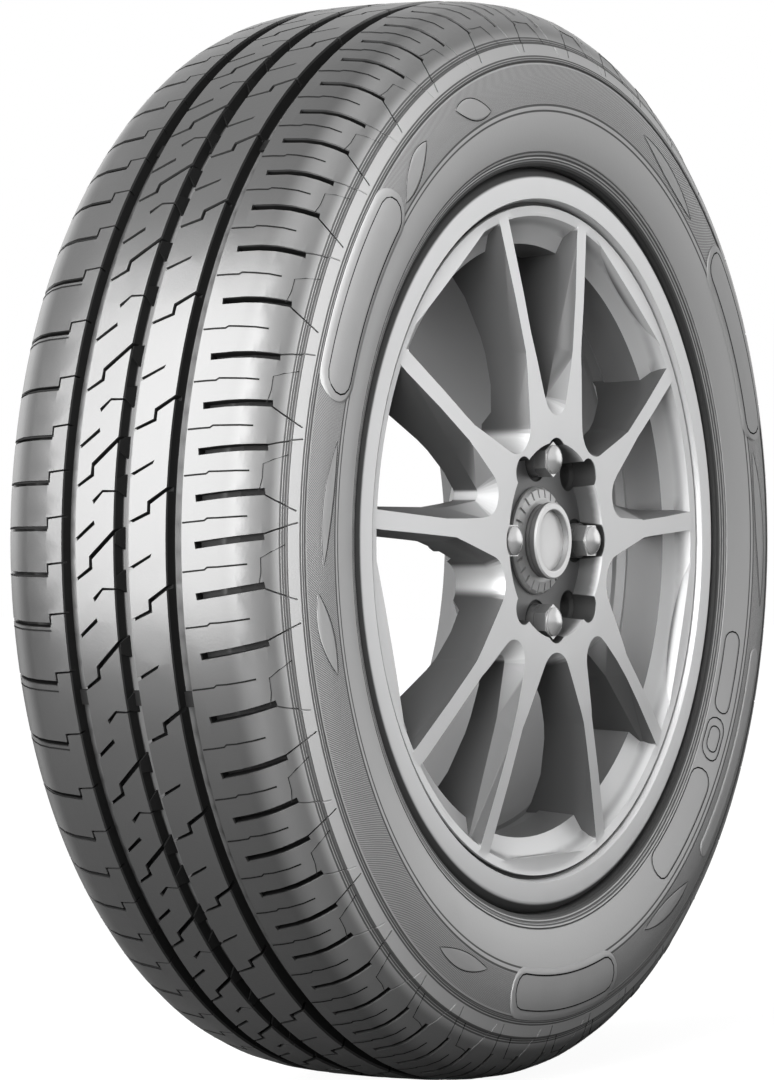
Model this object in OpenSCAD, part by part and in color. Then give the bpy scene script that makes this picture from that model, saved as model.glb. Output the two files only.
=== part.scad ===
// Car tyre mounted on a ten-spoke cast alloy wheel, millimetres.
// The axle is the Y axis, the outer face looks to -Y and +Z is up.

/* [Tyre] */
// Outside radius of the tyre at the middle of the tread
tyre_r = 301.5; // [280:0.5:330]
// Overall width of the tyre over the sidewalls
tyre_w = 186; // [165:1:215]
// Thickness of the sidewall
wall_t = 8; // [6:0.5:12]
// Thickness of the casing under the main grooves
under_t = 9.5; // [7:0.5:13]

/* [Tread] */
// Width of each of the three main grooves
groove_w = 9.6; // [7:0.1:12]
// Depth of the main grooves
groove_d = 8; // [6:0.5:9]
// Depth of the slots across the ribs
slot_d = 6.5; // [4:0.5:7]
// Place of the inboard main groove along the axle
groove_y1 = 30.2; // [26:0.1:34]
// Place of the middle main groove along the axle
groove_y2 = -2.5; // [-6:0.1:2]
// Place of the outboard main groove along the axle
groove_y3 = -33.9; // [-38:0.1:-30]
// Widest width of the shoulder slots
slot_w = 3.6; // [2.5:0.1:4.5]
// Width of the fine sipes between the slots
sipe_w = 0.8; // [0.6:0.1:1.2]
// Height of the wear bars over the groove bottoms
wear_h = 1.6; // [1:0.1:2.5]

/* [Wheel] */
// Nominal bead seat diameter of the rim
seat_dia = 379.4; // [370:0.2:390]
// Height of the rim flanges over the bead seat
flange_h = 16.6; // [14:0.1:18]
// Width of the rim over both flanges
rim_w = 168; // [150:1:180]
// Thickness of the rim flanges
flange_t = 8; // [6:0.5:10]
// Inside radius of the barrel
barrel_r = 163; // [155:0.5:166]
// Width of the smooth lip, from the rim's edge in to the step line
lip_w = 19.3; // [17:0.1:22]
// Distance from the step line in to the outer ends of the windows
window_gap = 7; // [5:0.5:12]
// Half angle between the two spokes of a pair at the rim
spoke_a = 14.4; // [12:0.1:17]
// Width of the flat front of the spokes
spoke_w = 10; // [8:0.5:14]
// Width of the bevels that face each other in a pair of spokes, at the hub
bevel_in = 8.5; // [5:0.5:10]
// Width of the bevels on the outer sides of a pair, at the hub
bevel_out = 3; // [1.5:0.5:5]
// Depth of the bevels
bevel_d = 8; // [5:0.5:10]
// Distance from the axle to the hub end of the windows inside the pairs
pair_root = 78; // [75:0.5:84]
// Distance from the axle to the hub end of the windows between the pairs
wide_root = 65; // [64:0.5:72]

/* [Hub] */
// Distance of the hub face from the middle of the tyre
hub_face_y = 60; // [52:1:62]
// Radius of the round recess in the hub
recess_r = 54.5; // [51:0.5:56]
// Depth of the round recess in the hub
recess_d = 13.3; // [11:0.1:15]
// Bolt circle of the wheel bolts
bolt_pcd = 90; // [88:0.5:100]
// Bolt circle of the second set of holes
spare_pcd = 105; // [102:0.5:110]
// Radius of the wells round the wheel bolts
well_r = 12; // [10:0.5:13]
// Radius of the wells of the second set of holes
spare_well_r = 9; // [8:0.5:11]
// Radius of the bolt holes
hole_r = 7.25; // [7.1:0.05:7.6]
// Radius of the centre bore
bore_r = 28.5; // [26:0.1:31]

/* [Cap and bolts] */
// Radius of the rim of the centre cap
cap_r = 21.3; // [18:0.1:24]
// Radius of the sunk disc in the centre cap
cap_disc_r = 16.8; // [13:0.1:19]
// Radius of the serrated ring round the cap
ring_r = 30; // [27:0.5:33]
// Width across the flats of the bolt heads
bolt_af = 17; // [15:0.5:19]
// Radius of the bolt thread
bolt_r = 6; // [5:0.5:7]
// Radius of the valve stem
valve_r = 5.6; // [5:0.1:6.5]

/* [Hidden] */
$fn = 96;
half_w = tyre_w / 2;
half_rim = rim_w / 2;
seat_r = seat_dia / 2;
flange_r = seat_r + flange_h;
fit = 0.1;
face_y = 89.3;
lip_r = flange_r - lip_w;
window_r = lip_r - window_gap;
floor_y = face_y - recess_d;
ring_seat_r = ring_r - 4.3;
bead_top = 208;
cavity = tyre_r - groove_d - under_t - bead_top;
valve_angle = 198;
valve_z = 26;

// Pitch plan: one entry per tread block, 1 short to 4 longest, clockwise seen from inboard
plan = [3,3,2,1,2,2,1,1,1,2, 3,3,2,1,1,1,2,3,4,3, 2,1,1,1,1,2,2,1,1,2,
    2,2,3,3,2,1,1,2,3,2, 1,1,2,3,3,2,1,1,1,2, 3,3,2,1,2,2,1,2,3,3,
    2,1,1,1,2,2,1,1,2,3, 2,1];
pitch_deg = [0, 4.58, 5.02, 5.93, 6.45];
function run(n) = n == 0 ? 0 : run(n - 1) + pitch_deg[plan[n - 1]];
turn = run(len(plan));
first = 100.7;
function at(n) = first + 360 * run(n) / turn;
function len_of(n) = 360 * pitch_deg[plan[n]] / turn;

// Outside of the tyre from the crown to the bead, as [along the axle, radius]: a proud ring under
// the shoulder, then fine ring grooves on the sidewall and over the bead
outside = [[0, 301.5], [30, 301], [45, 299.8], [58, 297.5], [66, 294.5], [72, 290.5], [77, 286],
    [81, 280.5], [84.1, 274.8], [84.9, 274.9], [89.4, 264.9], [88.9, 264.3], [91.4, 256.5], [93, 249],
    [92.9, 241.2], [92.3, 240.6], [92.8, 240], [90.8, 227], [87.3, 215.5], [86.6, 214.9], [86.8, 214.1],
    [86.2, 212.7], [85.5, 212.1], [85.7, 211.3], [85.1, 209.9], [84.4, 208.6]];
function grow(p) =
    [p[0] * half_w / 93, bead_top + (p[1] - bead_top) * (tyre_r - bead_top) / (301.5 - bead_top)];

// Axle frame of the shapes below: +z outboard, turned so that outboard is -Y
module axle() rotate([90, 0, 0]) children();

module tyre_section() {
    o = [for (p = outside) grow(p)];
    n = len(o);
    bead = [[half_rim - 0.2, flange_r + 1.2], [half_rim - flange_t + 1.2, flange_r + 0.4],
        [half_rim - flange_t - fit, flange_r - 1],
        [half_rim - flange_t - fit, seat_r + 4], [half_rim - flange_t - 4, seat_r + fit],
        [half_rim - flange_t - 20, seat_r + fit]];
    inner = [[half_rim - flange_t - 17, flange_r + 1], [half_w - wall_t - 3, bead_top + 0.3 * cavity],
        [half_w - wall_t, bead_top + 0.52 * cavity], [half_w - wall_t - 4, bead_top + 0.71 * cavity],
        [half_w - wall_t - 12, bead_top + 0.85 * cavity],
        [60, tyre_r - groove_d - under_t - 4],
        [40, tyre_r - groove_d - under_t - 1], [0, tyre_r - groove_d - under_t]];
    side = concat(bead, inner);
    m = len(side);
    polygon(concat([for (i = [0:n - 1]) [o[i][1], o[i][0]]], [for (i = [0:m - 1]) [side[i][1], side[i][0]]],
        [for (i = [m - 2:-1:0]) [side[i][1], -side[i][0]]], [for (i = [n - 1:-1:1]) [o[i][1], -o[i][0]]]));
}

module groove_notches()
    for (y = [groove_y1, groove_y2, groove_y3])
        polygon([[tyre_r - groove_d, -y - groove_w / 2 + 1.2], [tyre_r - groove_d, -y + groove_w / 2 - 1.2],
            [tyre_r + 3, -y + groove_w / 2 + 0.3], [tyre_r + 3, -y - groove_w / 2 - 0.3]]);

// A slot with a level floor: corner points as [along the axle, round the tyre]
module slot(angle, points)
    rotate([0, 0, angle]) rotate([0, 90, 0]) translate([0, 0, tyre_r - slot_d]) linear_extrude(slot_d + 3)
        polygon(points);

// A straight slot whose floor follows the shoulder: corner points as [depth level, along the axle]
module run_slot(angle, y, w, lean, points)
    rotate([0, 0, angle]) translate([0, 0, -y]) rotate([lean, 0, 0]) translate([tyre_r, w / 2, y])
        rotate([90, 0, 0]) linear_extrude(w) polygon(points);

module outer_slot(n)
    run_slot(at(n), -46, slot_w, 8, [[3, 46], [-slot_d - 1.7, 46], [-slot_d - 6.5, 66], [-slot_d - 14, 77],
        [3, 84]]);

// The thin end of a shoulder slot, leaning forward on one block and back on the next
module outer_tail(n)
    run_slot(at(n) - 0.9, -75.5, sipe_w, n % 2 == 1 ? -36 : 30,
        [[-10, 75], [-19, 75.5], [-36, 88], [-20, 96]]);

module inner_slot(n)
    run_slot(at(n) + 2.9, 44, slot_w - 1, 0, [[3, -44], [-slot_d - 1.7, -44], [-slot_d - 6.5, -66],
        [-slot_d - 14, -77], [-slot_d - 20, -84], [3, -90]]);

// The fine step from an inboard slot to the main groove
module inner_step(n)
    slot(at(n) + 2.9, [[44.6, -5.9], [44.6, 0], [43.4, 0], [43.4, -4.9], [groove_y1 + 4, -5.9],
        [groove_y1 + 4, -6.9]]);

module rib_1_zigzag(n)
    slot(at(n) + 3.3, [[25.8, -0.5], [17.4, -6.2], [17.2, -11.9], [1.2, -26.2], [1.2, -23], [15.4, -10.2],
        [15.2, -5.2], [25.8, 1.3]]);

module rib_1_short(n) slot(at(n) + 4.05, [[25.8, -1], [14.3, -10.3], [13.6, -8.2], [25.8, 1.2]]);

module rib_1_hook(n)
    slot(at(n), [[15.6, 0.8], [9.6, -4.5], [1.2, -4.3], [1.2, -3.3], [9.2, -3.2], [14.6, 2.8]]);

module rib_2_zigzag(n)
    slot(at(n) + 2.3, [[-6.6, -0.4], [-18, -5.4], [-18, -10.7], [-30, -18.2], [-30, -15.8], [-20, -9.2],
        [-20, -4.2], [-6.6, 1.4]]);

module rib_2_short(n) slot(at(n) + 2.3, [[-6.6, -0.7], [-21, -8], [-20.2, -6], [-6.6, 1.3]]);

module wear_bars()
    for (a = [15.8:60:359], y = [groove_y1, groove_y2, groove_y3])
        rotate([0, 0, a]) translate([tyre_r - groove_d - 1, -4, -y - groove_w / 2])
            cube([1 + wear_h, 8, groove_w]);

module tyre() {
    color([0.12, 0.12, 0.13]) axle() {
        difference() {
            rotate_extrude($fn = 180) difference() {
                tyre_section();
                groove_notches();
            }
            for (n = [0:len(plan) - 1]) {
                outer_slot(n);
                outer_tail(n);
                inner_slot(n);
                inner_step(n);
                if (n % 2 == 0) {
                    rib_1_zigzag(n);
                    rib_2_short(n);
                } else {
                    rib_1_short(n);
                    rib_1_hook(n);
                    rib_2_zigzag(n);
                }
            }
        }
        wear_bars();
    }
}

// Rim section: lip, flanges, bead seats, safety humps and drop centre, as [radius, outboard]
module rim_section() {
    h = half_rim;
    s = h - flange_t;
    polygon([
        [lip_r + 1.5, h - 1.8], [lip_r + 2.5, h - 0.3], [flange_r - 6.4, h], [flange_r - 4.6, h - 0.6],
        [flange_r - 2.2, h - 2.2], [flange_r - 0.7, h - 4.2], [flange_r, h - 6], [flange_r - 1.2, h - 7.6],
        [flange_r - 4, s], [seat_r + 4, s], [seat_r, s - 4], [seat_r, s - 18], [seat_r + 1.5, s - 21],
        [seat_r, s - 25],
        [barrel_r + 14, s - 31], [barrel_r + 6, s - 40], [barrel_r + 6, s - 66], [barrel_r + 12, s - 78],
        [seat_r, -s + 25], [seat_r + 1.5, -s + 21], [seat_r, -s + 18], [seat_r, -s + 4], [seat_r + 4, -s],
        [flange_r - 4, -s], [flange_r - 1.2, -h + 7.6], [flange_r, -h + 6], [flange_r - 0.7, -h + 4.2],
        [flange_r - 2.2, -h + 2.2], [flange_r - 4.6, -h + 0.6], [flange_r - 8, -h], [barrel_r + 13, -h],
        [barrel_r + 9, -h + 2],
        [barrel_r + 1.5, -h + 18], [barrel_r, -h + 40], [barrel_r, h - 46], [barrel_r + 1.5, h - 44],
        [barrel_r + 1.5, h - 38], [barrel_r, h - 36], [barrel_r + 2, h - 14], [window_r - 6, h - 11],
        [window_r - 2, h - 7], [window_r, h - 3.4], [lip_r - 1.6, h - 2.6], [lip_r - 1, h - 5.4],
        [lip_r + 0.9, h - 5.4]
    ]);
}

// Height of the spokes' and the hub's front along the axle, at a distance from the axle
front_line = [[0, face_y], [66, face_y], [100, face_y - 1.3], [140, face_y - 4.3],
    [window_r + 3, half_rim - 3.2]];
function front_at(r) = lookup(r, front_line);

// Front and back of the spokes and the hub, as [radius, outboard]
module disc_section()
    polygon(concat(front_line, [
        [window_r + 3, 38], [168, 36], [158, 44], [140, 54], [118, 61], [92, 66], [78, 66],
        [72, hub_face_y], [0, hub_face_y]
    ]));

// Half width of a spoke on the side of a window, from the foot (up = 0) to the top (up = 1) of a
// bevel that narrows towards the rim
function bevel_at(b, r) = b * (1 - 0.8 * (r - 66) / (window_r - 66));
function spoke_half(r, b, up) = spoke_w / 2 + bevel_at(b, r) * (1 - up);
function side_point(half, r, b, up) =
    [r * cos(half) + spoke_half(r, b, up) * sin(half), r * sin(half) - spoke_half(r, b, up) * cos(half)];

// Outline of a window with its middle along +X: two straight sides and a round end at the hub
function window_outline(half, b, root, round_r, up) =
    let (c = root + round_r, q = round_r + up * b, p = side_point(half, 108, b, up),
        t = side_point(half, window_r + 6, b, up),
        a = atan2(p[1], p[0] - c) + acos(q / norm([p[0] - c, p[1]])))
    concat([t, p],
        [for (i = [0:12]) let (g = a + (360 - 2 * a) * i / 12) [c + q * cos(g), q * sin(g)]],
        [[p[0], -p[1]], [t[0], -t[1]]]);

// A window as a cutter: straight walls, then bevels that follow the front of the spokes
module window(half, b, root, round_r) {
    foot = window_outline(half, b, root, round_r, 0);
    top = window_outline(half, b, root, round_r, (bevel_d + 1.2) / bevel_d);
    n = len(foot);
    points = concat(
        [for (p = foot) [p[0], p[1], 20]], [for (p = foot) [p[0], p[1], front_at(norm(p)) - bevel_d]],
        [for (p = top) [p[0], p[1], front_at(norm(p)) + 1.2]], [for (p = top) [p[0], p[1], face_y + 4]]);
    walls = [for (k = [0:2], i = [0:n - 1]) let (j = (i + 1) % n, l = k * n, u = l + n)
        each [[l + i, u + i, u + j], [l + i, u + j, l + j]]];
    polyhedron(points, concat([[for (i = [0:n - 1]) i]], walls, [[for (i = [n - 1:-1:0]) 3 * n + i]]));
}

module around(count, radius, start)
    for (k = [0:count - 1]) rotate([0, 0, start + 360 * k / count]) translate([radius, 0, 0]) children();

module alloy_wheel() {
    bolts = bolt_pcd / 2;
    spares = spare_pcd / 2;
    color([0.72, 0.73, 0.75]) axle()
        difference() {
            union() {
                rotate_extrude($fn = 180) rim_section();
                difference() {
                    rotate_extrude($fn = 180) disc_section();
                    for (k = [0:4]) {
                        rotate([0, 0, 90 + 72 * k]) window(spoke_a, bevel_in, pair_root, 4);
                        rotate([0, 0, 126 + 72 * k]) window(36 - spoke_a, bevel_out, wide_root, 13);
                    }
                }
            }
            translate([0, 0, floor_y]) cylinder(r1 = recess_r - 2, r2 = recess_r, h = recess_d + 1);
            around(4, bolts, 0) translate([0, 0, floor_y - 1]) cylinder(r = well_r, h = recess_d + 8);
            around(4, spares, 45) translate([0, 0, floor_y - 1])
                cylinder(r = spare_well_r, h = recess_d + 8);
            around(4, bolts, 0) translate([0, 0, floor_y - 5]) cylinder(r1 = hole_r, r2 = 10, h = 4.1);
            around(4, spares, 45) translate([0, 0, floor_y - 3]) cylinder(r1 = hole_r, r2 = 8.5, h = 2.1);
            around(4, bolts, 0) translate([0, 0, hub_face_y - 1])
                cylinder(r = hole_r, h = floor_y - hub_face_y);
            around(4, spares, 45) translate([0, 0, hub_face_y - 1])
                cylinder(r = hole_r, h = floor_y - hub_face_y);
            translate([0, 0, hub_face_y - 1]) cylinder(r = bore_r, h = 10);
            translate([0, 0, hub_face_y + 8]) cylinder(r = ring_seat_r, h = 30);
            rotate([0, 0, valve_angle]) translate([barrel_r - 6, 0, valve_z]) rotate([0, 90, 0])
                cylinder(r = valve_r, h = 20);
        }
}

// Centre cap: barrel with two ring grooves, proud rim and sunk disc
module centre_cap() {
    c = face_y - 1.8;
    color([0.62, 0.63, 0.65]) axle() rotate_extrude() polygon([
        [0, c - 3.3], [cap_disc_r, c - 3.3], [cap_disc_r, c - 0.4], [cap_disc_r + 0.8, c], [cap_r - 0.8, c],
        [cap_r, c - 0.8], [cap_r, c - 3], [cap_r - 1.6, c - 3.4], [cap_r - 1.6, c - 4.6],
        [cap_r - 0.9, c - 5],
        [cap_r - 0.9, c - 6.4], [cap_r - 2, c - 6.8], [cap_r - 2, c - 8.2], [cap_r - 1.2, c - 8.6],
        [cap_r - 1.2, hub_face_y + 10], [cap_r - 4, hub_face_y + 9], [cap_r - 4, c - 6], [0, c - 6]
    ]);
}

// Serrated ring at the foot of the cap
module cap_ring() {
    color([0.66, 0.67, 0.69]) axle() difference() {
        rotate_extrude() polygon([
            [cap_r - 1.2 + fit, hub_face_y + 10.5], [ring_seat_r - fit, hub_face_y + 10.5],
            [ring_seat_r - fit, floor_y + fit], [ring_r, floor_y + fit], [ring_r, floor_y + 1.6],
            [ring_r - 1.6, floor_y + 3.4], [cap_r + 1.6, floor_y + 4.4], [cap_r - 0.9, floor_y + 4.4],
            [cap_r - 0.9, floor_y + fit], [cap_r - 1.2 + fit, floor_y - 1]
        ]);
        for (k = [0:23]) rotate([0, 0, k * 15 + 7.5]) translate([cap_r + 2.6, -0.8, floor_y + 2.4])
            cube([12, 1.6, 6]);
    }
}

// Wheel bolt: domed head, collar, cone seat and threaded shank
module wheel_bolt(a) {
    z = floor_y - 1;
    color([0.45, 0.46, 0.48]) axle() rotate([0, 0, a]) translate([bolt_pcd / 2, 0, 0]) {
        translate([0, 0, hub_face_y - 23]) cylinder(r = bolt_r, h = z - hub_face_y + 23);
        translate([0, 0, hub_face_y - 25]) cylinder(r1 = bolt_r - 1.2, r2 = bolt_r, h = 2);
        translate([0, 0, z - 3.9]) cylinder(r1 = hole_r - 0.1, r2 = 9.8, h = 3.9);
        translate([0, 0, z]) cylinder(r = 9.8, h = 4.5);
        translate([0, 0, z + 4.5]) cylinder(r = bolt_af / sqrt(3), h = 7.5, $fn = 6);
        intersection() {
            translate([0, 0, z + 4]) sphere(r = 12.2);
            translate([0, 0, z + 12]) cylinder(r = bolt_af / 2 - 0.4, h = 8);
        }
    }
}

module wheel_bolt_1() wheel_bolt(0);
module wheel_bolt_2() wheel_bolt(90);
module wheel_bolt_3() wheel_bolt(180);
module wheel_bolt_4() wheel_bolt(270);

// Snap-in rubber valve through the barrel, with its foot in the tyre
module valve_stem() {
    color([0.1, 0.1, 0.11]) axle() rotate([0, 0, valve_angle]) translate([barrel_r, 0, valve_z])
        rotate([0, -90, 0]) rotate_extrude($fn = 48) polygon([
            [0, -9], [8.6, -9], [9.2, -6.3], [valve_r - fit, -6.2], [valve_r - fit, 0.2],
            [valve_r + 1.6, 0.3],
            [valve_r + 1.2, 3], [valve_r - 0.3, 6], [valve_r - 1, 14], [4, 15], [0, 15]
        ]);
}

module valve_cap() {
    color([0.05, 0.05, 0.05]) axle() rotate([0, 0, valve_angle]) translate([barrel_r - 15.1, 0, valve_z])
        rotate([0, -90, 0]) difference() {
            cylinder(r = 4.6, h = 8, $fn = 48);
            for (k = [0:11]) rotate([0, 0, 30 * k]) translate([4.3, -0.4, 1]) cube([1, 0.8, 6]);
        }
}

tyre();
alloy_wheel();
centre_cap();
cap_ring();
wheel_bolt_1();
wheel_bolt_2();
wheel_bolt_3();
wheel_bolt_4();
valve_stem();
valve_cap();
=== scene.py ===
"""A car tyre on its alloy wheel, standing upright: outer face to the right, tread to the left."""
import math
from collections import namedtuple

import bmesh
import bpy
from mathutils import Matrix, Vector


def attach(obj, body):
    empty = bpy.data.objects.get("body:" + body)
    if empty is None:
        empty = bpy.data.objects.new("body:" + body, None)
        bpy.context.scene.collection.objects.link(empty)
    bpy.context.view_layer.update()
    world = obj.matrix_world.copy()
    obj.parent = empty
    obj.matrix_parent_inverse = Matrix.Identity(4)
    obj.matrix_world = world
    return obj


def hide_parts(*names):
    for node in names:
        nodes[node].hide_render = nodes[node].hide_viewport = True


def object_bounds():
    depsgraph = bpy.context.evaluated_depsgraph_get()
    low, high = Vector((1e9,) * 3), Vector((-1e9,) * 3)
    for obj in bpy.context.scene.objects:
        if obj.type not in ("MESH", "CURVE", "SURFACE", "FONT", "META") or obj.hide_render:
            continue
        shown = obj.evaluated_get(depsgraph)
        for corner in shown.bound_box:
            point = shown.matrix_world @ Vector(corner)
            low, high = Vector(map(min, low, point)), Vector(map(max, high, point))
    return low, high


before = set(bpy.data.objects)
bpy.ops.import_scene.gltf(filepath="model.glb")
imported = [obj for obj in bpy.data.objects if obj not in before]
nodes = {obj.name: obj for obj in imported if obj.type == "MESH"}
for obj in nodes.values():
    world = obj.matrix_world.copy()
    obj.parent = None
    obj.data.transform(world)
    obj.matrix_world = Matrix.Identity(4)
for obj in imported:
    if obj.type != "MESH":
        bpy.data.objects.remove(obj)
cad_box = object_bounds()
scene = bpy.context.scene
MM = 0.001


# Shader building ---------------------------------------------------------------------------

NEUTRAL = (1.0, 1.0, 1.0)
Place = namedtuple("Place", "where x y z radius angle")


def paint(grey, tint=NEUTRAL):
    """A grey as a colour, slightly tinted."""
    return (*(grey * part for part in tint), 1)


class Value:
    """A number socket that adds Math nodes when it is used in an expression."""

    def __init__(self, shade, socket):
        self.shade, self.socket = shade, socket

    def math(self, operation, *others):
        return self.shade.node("ShaderNodeMath", {"operation": operation}, self, *others)

    def __add__(self, other):
        return self.math("ADD", other)

    __radd__ = __add__

    def __mul__(self, other):
        return self.math("MULTIPLY", other)

    __rmul__ = __mul__

    def __sub__(self, other):
        return self.math("SUBTRACT", other)

    def __rsub__(self, other):
        return self.shade.node("ShaderNodeMath", {"operation": "SUBTRACT"}, other, self)

    def __truediv__(self, other):
        return self.math("DIVIDE", other)

    def __abs__(self):
        return self.math("ABSOLUTE")

    def least(self, other):
        return self.math("MINIMUM", other)

    def most(self, other):
        return self.math("MAXIMUM", other)

    def step(self, low, high):
        """0 below low, 1 above high and smooth between; falls where low is the larger."""
        return self.shade.node(
            "ShaderNodeMapRange", {"interpolation_type": "SMOOTHSTEP"}, self, low, high, 0.0, 1.0
        )

    def band(self, low, high, soft):
        """1 between low and high."""
        return self.step(low - soft, low + soft) * self.step(high + soft, high - soft)


class Shade:
    """The nodes of one material, or of the world."""

    def __init__(self, owner, last="Principled BSDF"):
        owner.use_nodes = True
        self.owner, self.tree = owner, owner.node_tree
        self.surface = self.tree.nodes[last]

    def node(self, kind, settings=None, *inputs, out=0, **named):
        """A node of a type, with its settings first and then the values or links of its sockets."""
        made = self.tree.nodes.new(kind)
        for key, value in (settings or {}).items():
            if key == "stops":
                ramp = made.color_ramp
                while len(ramp.elements) < len(value):
                    ramp.elements.new(0.5)
                for element, (place, grey) in zip(ramp.elements, value):
                    element.position, element.color = place, (grey, grey, grey, 1)
            else:
                setattr(made, key, value)
        for place, value in [*enumerate(inputs), *named.items()]:
            self.feed(made.inputs[place], value)
        return Value(self, made.outputs[out])

    def feed(self, socket, value):
        if isinstance(value, Value):
            self.tree.links.new(value.socket, socket)
        elif value is not None:
            socket.default_value = value

    def set(self, **sockets):
        for name, value in sockets.items():
            self.feed(self.surface.inputs[name.replace("_", " ")], value)

    def split(self, vector):
        """The X, Y and Z of a vector."""
        outputs = self.node("ShaderNodeSeparateXYZ", None, vector).socket.node.outputs
        return [Value(self, outputs[i]) for i in range(3)]

    def place(self):
        """Object coordinates, their X, Y and Z, the distance from the axle and the angle round it."""
        where = self.node("ShaderNodeTexCoord", out="Object")
        x, y, z = self.split(where)
        return Place(where, x, y, z, (x * x + z * z).math("SQRT"), z.math("ARCTAN2", x))

    def noise(self, where, scale, detail=2.0):
        return self.node("ShaderNodeTexNoise", None, Vector=where, Scale=scale, Detail=detail)

    def mix(self, factor, first, second):
        """A colour that runs from the first to the second with the factor."""
        unused = [None] * 5
        return self.node("ShaderNodeMix", {"data_type": "RGBA"}, factor, *unused, first, second, out=2)

    def grey(self, factor, low, high, tint=NEUTRAL):
        """A colour that runs from one grey to another with the factor."""
        return self.mix(factor, paint(low, tint), paint(high, tint))

    def bump(self, height, strength, distance):
        return self.node("ShaderNodeBump", None, Height=height, Strength=strength, Distance=distance)


def material(name):
    """The nodes of a new material."""
    return Shade(bpy.data.materials.new(name))


# Fall of the tread from its crown towards the shoulder: distance along the axle over CROWN_REACH,
# fall over CROWN_FALL
CROWN = [
    (0, 0), (0.3, 0.0167), (0.45, 0.0567), (0.58, 0.1333), (0.66, 0.2333), (0.72, 0.3667),
    (0.77, 0.5167), (0.81, 0.7), (0.841, 0.89),
]
CROWN_REACH, CROWN_FALL = 0.1, 0.03
CROWN_R = 0.3015
# Depth below the tread at which the slots' and grooves' walls begin and end; these walls are painted
# near black and made metallic as painted shade
CUT_TOP, CUT_FLOOR = 0.0014, 0.0072
# Fine rings moulded into both walls, bumped in and painted dark as painted shade: radius and half
# width
WALL_RINGS = (
    (0.2776, 0.0003), (0.2763, 0.0003), (0.2749, 0.0006), (0.2673, 0.0003), (0.266, 0.0003),
    (0.2645, 0.0007), (0.2404, 0.0005), (0.2372, 0.0004), (0.2146, 0.0003), (0.2128, 0.0003),
    (0.211, 0.0003), (0.2094, 0.0003),
)
RING_EDGE = 0.0003
# Hatched band of the outer wall, its lines bumped in and painted dark as painted shade, and the turns
# of its hatch round and across the band
HATCH_LOW, HATCH_HIGH, HATCH_EDGE = 0.2412, 0.2628, 0.0003
HATCH_ROUND, HATCH_ACROSS = 1250.0, 4400.0
# Ends of soft steps in metres: where the tread turns into the wall, where the wall's rings and its
# hatch begin, where the rubber is painted paler on the shoulder as a painted highlight and on the wall
# partly as painted sheen, and the gap at the bead, painted near black as shade
WALL_TURN, RINGS_BEGIN, HATCH_BEGINS = (0.076, 0.084), (0.078, 0.083), (-0.078, -0.083)
PAINTED_HIGHLIGHT_SHOULDER, PALE_WALL = (0.06, 0.073), (0.079, 0.085)
BEAD_GAP = (0.2105, 0.2085)


def tyre_rubber():
    """Black tread and greyer walls with fine rings and a hatched outer band; the cuts, rings, hatch
    lines and bead gap are painted near black as their shade.
    """
    s = material("tyre_rubber")
    at = s.place()
    side = abs(at.y)
    grain = s.noise(at.where, 700.0)
    cloud = s.noise(at.where, 14.0, 3.0)

    hatch = (at.angle * HATCH_ROUND + at.radius * HATCH_ACROSS).math("SINE").step(-0.8, 0.8)
    cut = at.radius.band(HATCH_LOW, HATCH_HIGH, HATCH_EDGE) * at.y.step(*HATCH_BEGINS) * hatch
    rings = 0
    for middle, half in WALL_RINGS:
        rings = abs(at.radius - middle).step(half + RING_EDGE, half) + rings
    rings = (rings * side.step(*RINGS_BEGIN)).least(1.0)

    wall = side.step(*WALL_TURN)
    # Painted shade: the wall goes near black in the gap at the bead, next to the rim.
    bead_gap = at.radius.step(*BEAD_GAP) * wall
    fall = s.node("ShaderNodeValToRGB", {"stops": CROWN}, side * (1 / CROWN_REACH)) * CROWN_FALL
    depth = CROWN_R - fall - at.radius
    # Painted shade: the walls of the slots and grooves go near black.
    sunk = depth.band(CUT_TOP, CUT_FLOOR, 0.0003) * (1 - wall)
    # Painted light: the floors of the grooves are painted a little paler, for the light that falls on
    # them.
    floor = depth.step(CUT_FLOOR, CUT_FLOOR + 0.0004) * (1 - wall)

    # Painted shade: rings, hatch lines, the bead gap and the cuts' walls all mix towards near black.
    shade = (rings * 0.9 + cut * 0.75).most(bead_gap).most(sunk)
    pale = side.step(*PAINTED_HIGHLIGHT_SHOULDER) * 0.2 + side.step(*PALE_WALL) * 0.8
    # Painted highlight and sheen: the shoulder is painted paler where the lamp's highlight ends, and
    # the wall's grey is partly the rubber's tone and partly painted sheen.
    tone = s.grey(pale.most(floor * 0.2), 0.014, 0.21)
    s.set(
        Base_Color=s.mix(shade, tone, paint(0.005)),
        Roughness=0.27 + wall * 0.13 + cloud * 0.08 + shade * 0.3,
        Normal=s.bump(rings * -1.0 - cut * 0.5 + grain * 0.2, 0.45, 0.0004),
        # Painted shade: metal in the cuts' walls takes away their diffuse light.
        Metallic=sunk * 0.8,
        Specular_IOR_Level=0.55,
        Coat_Weight=wall * 0.2 * (1 - shade),
        Coat_Roughness=0.3,
    )
    return s.owner


def plain_rubber(name, grey, rough, shine):
    """Rubber of one tone, for what is raised on the wall, and near black for fine cuts as their
    painted shade.
    """
    s = material(name)
    where = s.place().where
    grain = s.noise(where, 700.0)
    s.set(
        Base_Color=s.grey(s.noise(where, 30.0), grey * 0.9, grey * 1.1),
        Roughness=rough + grain * 0.06,
        Normal=s.bump(grain, 0.12, 0.0003),
        Specular_IOR_Level=shine,
    )
    return s.owner


def distance(a, b):
    """How far a place is from a middle, from its two offsets."""
    return (a.math("POWER", 2.0) + b.math("POWER", 2.0)).math("SQRT")


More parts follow.
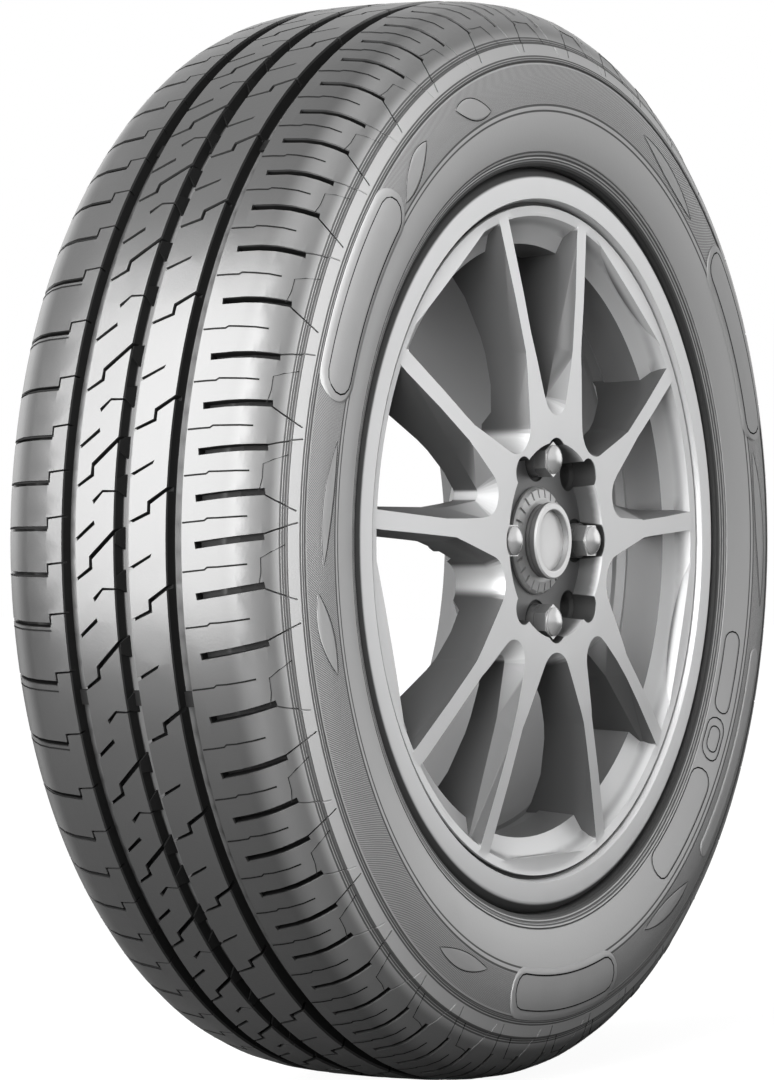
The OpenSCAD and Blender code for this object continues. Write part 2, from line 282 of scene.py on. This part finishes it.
# Bolt wells of the hub, painted near black as their shade: those on the diagonals are empty, those on
# the axes hold the bolts
EMPTY_WELL_AT, EMPTY_WELL_R = 0.0371, 0.0096
BOLT_WELL_AT, BOLT_WELL_R = 0.045, 0.0126
WELL_EDGE = 0.0005
# The hub pocket, painted darker as its shade
HUB_POCKET_R = 0.0545
# Ends of soft steps in metres, along the axle: the mouths of wells and pocket, the front of the
# barrel, the face the groove stops short of; and in radius: the spokes' ends and the tyre's edge
WELL_MOUTH, POCKET_MOUTH = (-0.0895, -0.0885), (-0.0885, -0.0875)
BARREL_FRONT, GROOVE_FRONT = (-0.079, -0.074), (-0.0815, -0.0805)
# Past the tyre's edge the rim is painted near black as the shade of the gap to the tyre
SPOKE_ENDS, TYRE_EDGE = (0.181, 0.178), (0.2005, 0.202)
# The rim's groove, painted near black as its shade, and the barrel's inside, painted darker as its
# shade
GROOVE_LOW, GROOVE_HIGH = 0.1856, 0.1878
BARREL_LOW, BARREL_HIGH = 0.158, 0.186
SILVER_TINT = (1.0, 1.003, 1.01)


def cast_alloy():
    """Pale painted casting; painted shade makes wells, gaps and the rim's groove near black and the
    pocket and barrel darker, and the spokes' sides are darker.
    """
    s = material("cast_alloy")
    at = s.place()
    nx, ny, nz = s.split(s.node("ShaderNodeNewGeometry", out="Normal"))
    inward = abs((nx * at.x + nz * at.z) / at.radius)
    across = (1 - ny * ny - inward * inward).most(0.0).math("SQRT")
    side = across.step(0.45, 0.85) * at.radius.step(*SPOKE_ENDS)

    along_x, along_z = abs(at.x), abs(at.z)
    empty = distance(along_x - EMPTY_WELL_AT, along_z - EMPTY_WELL_AT)
    bolted = distance(along_x.least(along_z), along_x.most(along_z) - BOLT_WELL_AT)
    wells = empty.step(EMPTY_WELL_R, EMPTY_WELL_R - WELL_EDGE)
    wells = wells.most(bolted.step(BOLT_WELL_R, BOLT_WELL_R - WELL_EDGE)) * at.y.step(*WELL_MOUTH)
    groove = at.radius.band(GROOVE_LOW, GROOVE_HIGH, 0.0002)
    groove = groove * at.y.step(0.0, -0.07) * at.y.step(*GROOVE_FRONT)
    # Painted shade: wells, the rim's groove and the gap next to the tyre go near black.
    dark = wells.most(groove).most(at.radius.step(*TYRE_EDGE))
    pocket = at.radius.step(HUB_POCKET_R, HUB_POCKET_R - 0.001) * at.y.step(*POCKET_MOUTH)
    barrel = inward.step(0.5, 0.9) * at.radius.band(BARREL_LOW, BARREL_HIGH, 0.002)
    barrel = barrel * at.y.step(*BARREL_FRONT)

    # Painted shade: the pocket and the barrel's inside go darker; the spokes' sides are darker and
    # less metallic too.
    painted_shade_and_sides = side.most(pocket * 0.88).most(barrel * 0.8)
    flake = s.noise(at.where, 2600.0, 1.0)
    cloud = s.noise(at.where, 9.0)
    s.set(
        Base_Color=s.mix(dark, s.grey(painted_shade_and_sides, 0.44, 0.05, SILVER_TINT), paint(0.015)),
        Metallic=0.35 - side * 0.25 - dark * 0.35,
        Roughness=0.4 + cloud * 0.06 + dark * 0.3,
        Specular_IOR_Level=0.4,
        Normal=s.bump(flake, 0.1, 0.0002),
    )
    return s.owner


RING_GREY = 0.34


def ring_silver():
    """Plain machined silver of the serrated ring."""
    s = material("ring_silver")
    where = s.place().where
    grain = s.noise(where, 1500.0)
    s.set(
        Base_Color=s.grey(s.noise(where, 60.0), RING_GREY * 0.93, RING_GREY * 1.05),
        Metallic=0.5,
        Roughness=0.42 + grain * 0.08,
        Normal=s.bump(grain, 0.1, 0.0002),
    )
    return s.owner


# The cap's face and the edge of its sunk disc, and the bolts' domed ends, in metres
CAP_FACE, CAP_EDGE = (-0.0868, -0.0862), (0.0174, 0.0178)
DISC_R = 0.0168
BOLT_DOME = (-0.0864, -0.0868)


def cap_silver():
    """Bright face; the grooved side and a fine line round the sunk disc are painted dark as their
    shade.
    """
    s = material("cap_silver")
    at = s.place()
    grain = s.noise(at.where, 1500.0)
    # Painted shade: the grooved side and the line round the sunk disc go darker.
    side = at.y.step(*CAP_FACE) * at.radius.step(*CAP_EDGE)
    line = abs(at.radius - DISC_R).step(0.0005, 0.0002)
    painted_shade_and_sides = side.most(line * 0.7)
    s.set(
        Base_Color=s.grey(s.noise(at.where, 60.0) * 0.1 + (1 - painted_shade_and_sides) * 0.9, 0.1, 0.48),
        Metallic=0.5,
        Roughness=0.36 + grain * 0.08,
        Normal=s.bump(grain, 0.1, 0.0002),
    )
    return s.owner


def bolt_steel():
    """Flats painted dark and a domed end painted bright, as painted shade and a painted highlight."""
    s = material("bolt_steel")
    at = s.place()
    grain = s.noise(at.where, 3000.0)
    # Painted highlight and shade: the domed end is painted bright, the flats dark.
    dome = at.y.step(*BOLT_DOME)
    s.set(
        Base_Color=s.grey(dome * 0.9 + s.noise(at.where, 60.0) * 0.1, 0.09, 0.42),
        Metallic=0.3 + dome * 0.3,
        Roughness=0.3 - dome * 0.1 + grain * 0.08,
        Normal=s.bump(grain, 0.1, 0.0002),
    )
    return s.owner


def valve_material(name, grey, rough):
    """Black rubber or plastic of the valve."""
    s = material(name)
    where = s.place().where
    grain = s.noise(where, 1200.0)
    s.set(
        Base_Color=s.grey(s.noise(where, 40.0), grey * 0.8, grey * 1.2),
        Roughness=rough + grain * 0.1,
        Normal=s.bump(grain, 0.2, 0.0003),
    )
    return s.owner


def dress(name, finish):
    for place in nodes[name].material_slots:
        place.material = finish


rubber = tyre_rubber()
# The plates' grey matches the walls': partly the rubber's tone, partly painted sheen.
badge_rubber = plain_rubber("badge_rubber", 0.2, 0.45, 0.4)
# Painted shade: near-black strips and teeth stand for the shade in fine cuts and in the middle groove.
cut_painted_shade = plain_rubber("cut_painted_shade", 0.004, 0.8, 0.05)
alloy = cast_alloy()
dress("centre_cap", cap_silver())
dress("cap_ring", ring_silver())
steel = bolt_steel()
for number in (1, 2, 3, 4):
    dress(f"wheel_bolt_{number}", steel)
dress("valve_stem", valve_material("valve_rubber", 0.03, 0.5))
dress("valve_cap", valve_material("valve_cap_plastic", 0.02, 0.35))


# Smooth copies of the casting and the tyre -----------------------------------------------------


def smoothed(node, name, finish, crease, outer):
    """The node's own shape with its triangles merged, so that its rounds shade as rounds.

    Edges sharper than crease degrees stay sharp, and nothing reaches further out than outer.
    """
    bm = bmesh.new()
    bm.from_mesh(nodes[node].data)
    bmesh.ops.remove_doubles(bm, verts=bm.verts, dist=2e-6)
    bmesh.ops.recalc_face_normals(bm, faces=bm.faces)
    for vert in bm.verts:
        vert.co.y = max(vert.co.y, -outer)
    for face in bm.faces:
        face.smooth = True
    for edge in bm.edges:
        edge.smooth = len(edge.link_faces) == 2 and edge.calc_face_angle(0.0) < math.radians(crease)
    piece = finish_piece(bm, name, finish)
    piece.modifiers.new("weighted", "WEIGHTED_NORMAL").keep_sharp = True
    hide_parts(node)


def placed(bm, name, finish):
    """The mesh as an object of the scene, with its material."""
    mesh = bpy.data.meshes.new(name)
    bm.to_mesh(mesh)
    bm.free()
    mesh.materials.append(finish)
    piece = bpy.data.objects.new(name, mesh)
    scene.collection.objects.link(piece)
    return piece


def finish_piece(bm, name, finish):
    piece = placed(bm, name, finish)
    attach(piece, "root")
    return piece


# Skin of the tyre ----------------------------------------------------------------------------

# Half section of the tyre from the crown to the bead in millimetres: along the axle, radius
SECTION = [
    (0, 301.5), (30, 301), (45, 299.8), (58, 297.5), (66, 294.5), (72, 290.5), (77, 286), (81, 280.5),
    (84.1, 274.8), (84.9, 274.9), (89.4, 264.9), (88.9, 264.3), (91.4, 256.5), (93, 249),
    (92.9, 241.2), (92.3, 240.6), (92.8, 240), (90.8, 227), (87.3, 215.5), (86.6, 214.9),
]
WALL_BEGINS = 8
# Lengths of the tread blocks round the tyre, 1 short to 4 long
PLAN = [
    3, 3, 2, 1, 2, 2, 1, 1, 1, 2, 3, 3, 2, 1, 1, 1, 2, 3, 4, 3, 2, 1, 1, 1, 1, 2, 2, 1, 1, 2,
    2, 2, 3, 3, 2, 1, 1, 2, 3, 2, 1, 1, 2, 3, 3, 2, 1, 1, 1, 2, 3, 3, 2, 1, 2, 2, 1, 2, 3, 3,
    2, 1, 1, 1, 2, 2, 1, 1, 2, 3, 2, 1,
]
PITCH = {1: 4.58, 2: 5.02, 3: 5.93, 4: 6.45}
TURN = sum(PITCH[p] for p in PLAN)
FIRST_BLOCK = 100.7
TREAD_R = 300


def starts():
    """Number, first angle and length in degrees of each tread block."""
    run = 0.0
    for n, p in enumerate(PLAN):
        yield n, FIRST_BLOCK + 360 * run / TURN, 360 * PITCH[p] / TURN
        run += PITCH[p]


def along(value, table):
    """The second number of a table of pairs where the first one is the value."""
    for (a, fa), (b, fb) in zip(table, table[1:]):
        if a <= value <= b:
            return fa + (fb - fa) * (value - a) / (b - a)
    return table[-1][1] if value > table[-1][0] else table[0][1]


# The wall's widest line is pressed in by the height of what stands on it, so the width stays
PRESSED = 92.2
WALL = sorted((r, min(y, PRESSED)) for y, r in SECTION[WALL_BEGINS:])


def polar(angle, radius, y):
    """The point at an angle and a radius round the axle, y along it, from millimetres."""
    a = math.radians(angle)
    return Vector((radius * math.cos(a), y, radius * math.sin(a))) * MM


def on_tread(angle, y, lift):
    """A point so many millimetres over the tread."""
    return polar(angle, along(abs(y), SECTION) + lift, y)


def on_wall(angle, radius, lift):
    """A point so many millimetres over the outer wall."""
    return polar(angle, radius, -along(radius, WALL) - lift)


def ribbon(bm, line, width, outward):
    """A flat strip along a line of points; outward gives the way off the surface at a point."""
    rows = []
    for i, point in enumerate(line):
        ahead = line[min(i + 1, len(line) - 1)] - line[max(i - 1, 0)]
        across = ahead.cross(outward(point)).normalized() * width * MM / 2
        rows.append((bm.verts.new(point + across), bm.verts.new(point - across)))
    for (a, b), (c, d) in zip(rows, rows[1:]):
        bm.faces.new((c, d, b, a))


def off_tread(point):
    return Vector((point.x, 0, point.z)).normalized()


def off_wall(point):
    return Vector((0, -1, 0))


CUT_LIFT = 0.15
# Fine cut between two outboard slots: along the axle and round the tyre, in millimetres
OUTER_CUT = (
    (-38.9, 0.0), (-45, -0.6), (-51, -1.2), (-52.5, -2.4), (-58, -2.6), (-66, -3.3), (-71.6, -3.8),
)
# Open hexagon beside an outboard slot: along the axle in millimetres, round the tyre in degrees
HEXAGON = ((-75.6, -0.9), (-76.6, -2.2), (-76.6, -3.7), (-80, -4.3), (-84, -5.0))
# Fine cut between two inboard slots: along the axle, and its shift round the tyre, in millimetres
INNER_CUT = (43.8, 58, 66, 72, 77, 80)
INNER_SHIFT = 2.9


def sipes():
    """Fine cuts between the slots on both shoulders, and hexagon outlines on the outer one, as black
    strips laid on the tread: painted shade of the cuts.
    """
    bm = bmesh.new()
    for n, at, length in starts():
        outer = at + 0.52 * length
        line = [on_tread(outer + math.degrees(t / TREAD_R), y, CUT_LIFT) for y, t in OUTER_CUT]
        ribbon(bm, line, 0.9, off_tread)
        if n % 2:
            ribbon(bm, [on_tread(at + turn, y, CUT_LIFT) for y, turn in HEXAGON], 0.6, off_tread)
        inner = at + math.degrees(INNER_SHIFT / TREAD_R) + 0.5 * length
        ribbon(bm, [on_tread(inner, y, CUT_LIFT) for y in INNER_CUT], 0.9, off_tread)
    finish_piece(bm, "tyre_sipes", cut_painted_shade)


# A tooth of the middle groove in millimetres: its foot and top in radius, and along the axle its
# back in the wall and its front at foot and top; its foot and top are so many degrees long
TOOTH_FOOT_R, TOOTH_TOP_R = 293.2, 300.0
TOOTH_BACK, TOOTH_FOOT, TOOTH_TOP = 2.2, -0.2, 1.7
TOOTH_FOOT_TURN, TOOTH_TOP_TURN = 2.3, 1.1


def groove_teeth():
    """Short buttresses on the middle groove's inboard wall, where the cuts run into it, painted near
    black as shade in the groove.
    """
    bm = bmesh.new()
    for n, at, _ in starts():
        middle = at - (1.4 if n % 2 else 0.7)
        for vert in bmesh.ops.create_cube(bm, size=1.0)["verts"]:
            high, proud = vert.co.x > 0, vert.co.y < 0
            turn = vert.co.z * (TOOTH_TOP_TURN if high else TOOTH_FOOT_TURN)
            front = TOOTH_TOP if high else TOOTH_FOOT
            radius = TOOTH_TOP_R if high else TOOTH_FOOT_R
            vert.co = polar(middle + turn, radius, front if proud else TOOTH_BACK)
    finish_piece(bm, "groove_teeth", cut_painted_shade)


def stadium(start, end, low, high, steps=7):
    """A closed round-ended outline on the wall as (angle, radius) pairs."""
    middle, round_r = (low + high) / 2, (high - low) / 2
    turn = math.degrees(round_r / middle)
    first, last = start + turn, end - turn
    count = max(2, int(abs(last - first) / 1.5))
    out = []
    for way, anchor, goal, edge in ((1, last, first, low), (-1, first, last, high)):
        for i in range(steps + 1):
            g = way * math.pi / 2 - math.pi * i / steps
            reach = math.degrees(round_r * math.cos(g) / middle)
            out.append((anchor + reach, middle + round_r * math.sin(g)))
        out += [(anchor + (goal - anchor) * i / count, edge) for i in range(1, count)]
    return out


POINTED = 0.85
# Places of a plate's lengthwise rows over its half width; the outermost two go into the wall
PLATE_ROWS = (-1, -0.97, -0.75, -0.5, -0.25, 0, 0.25, 0.5, 0.75, 0.97, 1)
PLATE_FOOT = -0.3


def badge(bm, start, end, low, high, lift, pointed=False, slant=0.0):
    """A raised plate on the wall with round or pointed ends."""
    middle, half = (low + high) / 2, (high - low) / 2
    length = math.radians(end - start) * middle
    count = max(12, int(length / 3))
    rows = []
    for i in range(count + 1):
        t = (1 - math.cos(math.pi * i / count)) / 2
        if pointed:
            tall = half * math.sin(math.pi * t) ** POINTED
        else:
            near = min(t * length, length - t * length, half)
            tall = math.sqrt(max(half * half - (half - near) ** 2, 0.0))
        angle, radius = start + (end - start) * t, middle + slant * (t - 0.5)
        row = []
        for u in PLATE_ROWS:
            up = lift if abs(u) < 1 else PLATE_FOOT
            row.append(bm.verts.new(on_wall(angle, radius + u * (tall + 0.02), up)))
        rows.append(row)
    for a, b in zip(rows, rows[1:]):
        for k in range(len(a) - 1):
            bm.faces.new((a[k + 1], b[k + 1], b[k], a[k]))


def leaf(start, end, low, high, slant, steps=14):
    """The edge of a pointed patch on the wall as (angle, radius) pairs."""
    middle, half = (low + high) / 2, (high - low) / 2
    edge = []
    for side in (1, -1):
        for i in range(steps):
            t = i / steps if side > 0 else 1 - i / steps
            bulge = side * half * math.sin(math.pi * t) ** POINTED
            edge.append((start + (end - start) * t, middle + slant * (t - 0.5) + bulge))
    return edge


def outline(bm, corners, width, lift):
    """A thin closed line on the wall."""
    line = [on_wall(a, r, lift) for a, r in corners]
    ribbon(bm, [*line, line[0], line[1]], width, off_wall)


# On the outer wall, in degrees round it and millimetres of radius: first and last angle, lowest
# and highest radius, and for a leaf its slant
PLATES = ((134.5, 163.5), (14, 43), (257, 285))
LEAVES = (
    (109, 117, 244, 257, 12), (125, 134, 244, 257, -12), (168, 183, 243, 252, 8),
    (238, 250, 244, 254, -8), (-66, -52, 243, 253, 8), (-9, 13, 243, 254, -8),
    (50, 67, 244, 253, 8), (186, 196, 246, 258, -9),
)
BAR = (-47, -15, 246, 257)
OVALS = (
    (-58.5, -37, 215.8, 233), (-35, -28, 217, 232), (-33.6, -29.4, 220, 229), (-27, -14, 218.5, 231.5),
)


def sidewall():
    """Bare plates, leaves and a bar raised on the outer wall, and the thin lines round them, drawn as
    black strips: painted shade of moulded lines.
    """
    plates, lines = bmesh.new(), bmesh.new()
    for start, end in PLATES:
        badge(plates, start, end, 236, 265, 0.7)
        outline(lines, stadium(start + 0.9, end - 0.9, 240, 259.5), 0.9, 0.78)
    for start, end, low, high, slant in LEAVES:
        badge(plates, start, end, low, high, 0.2, True, slant)
        outline(lines, leaf(start, end, low, high, slant), 0.45, 0.3)
    badge(plates, *BAR, 0.6)
    for oval in OVALS:
        outline(lines, stadium(*oval), 0.8, 0.25)
    raised = finish_piece(plates, "sidewall_badges", badge_rubber)
    for face in raised.data.polygons:
        face.use_smooth = True
    finish_piece(lines, "sidewall_outlines", cut_painted_shade)


smoothed("alloy_wheel", "alloy_wheel_casting", alloy, 28, -cad_box[0][1])
smoothed("tyre", "tyre_carcass", rubber, 20, PRESSED * MM)
sipes()
groove_teeth()
sidewall()


# Stage, light and camera ---------------------------------------------------------------------

WORLD_LEVEL = 0.25
PHOTO_WIDTH = 775
FOCAL_PIXELS = 4481.7
SHIFT_PIXELS = -1.3
CAMERA_AIM, CAMERA_BACK, CAMERA_TURN = (-0.03347, 0.0, 0.00104), 2.5, -59.21


def stage():
    """A pale floor that reads as white to the camera and keeps the shadow, and a soft world."""
    bm = bmesh.new()
    bmesh.ops.create_grid(bm, x_segments=1, y_segments=1, size=12.0)
    bmesh.ops.translate(bm, vec=(0, 0, cad_box[0][2] - 0.0005), verts=bm.verts)
    s = material("studio_floor")
    seen = s.node("ShaderNodeLightPath", out="Is Camera Ray")
    at = s.place()
    far = distance(at.x, at.y).step(0.5, 2.5)
    s.set(
        Base_Color=paint(0.12),
        Roughness=0.9,
        Specular_IOR_Level=0.0,
        Emission_Color=s.grey(seen * (0.94 + far * 0.06), 0.0, 1.0),
        Emission_Strength=1.0,
    )
    floor = placed(bm, "floor", s.owner)

    scene.world = bpy.data.worlds.new("studio")
    s = Shade(scene.world, "Background")
    seen, mirrored, through = (
        s.node("ShaderNodeLightPath", out=f"Is {ray} Ray")
        for ray in ("Camera", "Glossy", "Transmission")
    )
    seen = seen.most(through).most(mirrored)
    s.set(Color=paint(1.0), Strength=seen * (1.0 - WORLD_LEVEL) + WORLD_LEVEL)


def softbox(name, place, size, radiance, aim=(0, 0, 0)):
    """A rectangular lamp at a place, turned to its aim."""
    light = bpy.data.lights.new(name, "AREA")
    light.shape = "RECTANGLE"
    light.size, light.size_y = size
    light.energy = radiance * math.pi * size[0] * size[1]
    lamp = bpy.data.objects.new(name, light)
    lamp.location = place
    lamp.rotation_euler = (Vector(aim) - Vector(place)).to_track_quat("-Z", "Y").to_euler()
    scene.collection.objects.link(lamp)
    return lamp


def camera():
    """The photograph's camera, level, 2.5 m from the wheel and turned from its face to the tread."""
    data = bpy.data.cameras.new("camera")
    data.sensor_fit = "HORIZONTAL"
    data.sensor_width = 36.0
    data.lens = FOCAL_PIXELS / PHOTO_WIDTH * data.sensor_width
    data.shift_y = SHIFT_PIXELS / PHOTO_WIDTH
    data.clip_end = 50
    view = bpy.data.objects.new("camera", data)
    turn = math.radians(CAMERA_TURN)
    back = Vector((math.sin(turn), -math.cos(turn), 0.0))
    view.location = Vector(CAMERA_AIM) + back * CAMERA_BACK
    view.rotation_euler = (math.radians(90), 0, turn)
    scene.collection.objects.link(view)
    scene.camera = view


stage()
camera()
tread_light = softbox("tread_light", (-0.86, 0.05, 0.3), (1.15, 1.15), 16.0, (-0.29, 0.0, 0.2))
tread_light.visible_camera = False
softbox("face_light", (2.3, -1.5, 0.2), (2.4, 2.4), 1.5, (0, -0.1, 0))
softbox("left_light", (-2.6, -2.7, 1.1), (2.4, 3.0), 1.6, (-0.2, -0.05, 0))
softbox("top_light", (-0.2, -0.9, 2.6), (2.0, 1.6), 0.9)
scene.view_settings.view_transform = "Standard"
